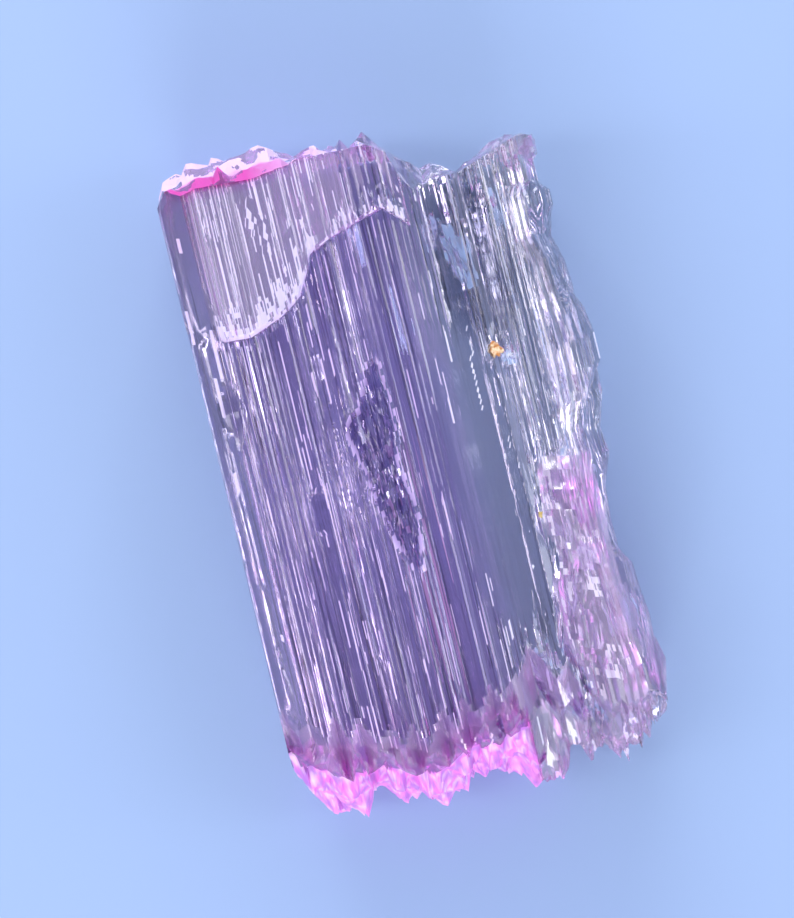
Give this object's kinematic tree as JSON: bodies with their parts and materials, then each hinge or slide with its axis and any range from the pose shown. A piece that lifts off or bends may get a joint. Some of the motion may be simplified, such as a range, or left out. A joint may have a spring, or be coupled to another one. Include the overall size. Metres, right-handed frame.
{
  "type": "kunzite crystal",
  "caption": "Flattened, striated kunzite crystal, clear lilac, with toothed ends, a growth step on its face and a broken right flank, lying on its broad back.",
  "frame": {"origin": "centre of the bounding box in plan, on the plane that the back rests on", "axes": "+Y along the crystal's length, towards its upper end as the picture shows it; +X across its width, towards the broken flank; +Z out of the striated front face, up as it lies"},
  "size_m": [0.023, 0.0414, 0.0104],
  "materials": {
    "kunzite": "clear lilac spodumene, glassy, finely striated, frosted where it is etched or broken"
  },
  "bodies": {
    "root": {"kunzite_crystal": "kunzite"}
  },
  "joints": []
}
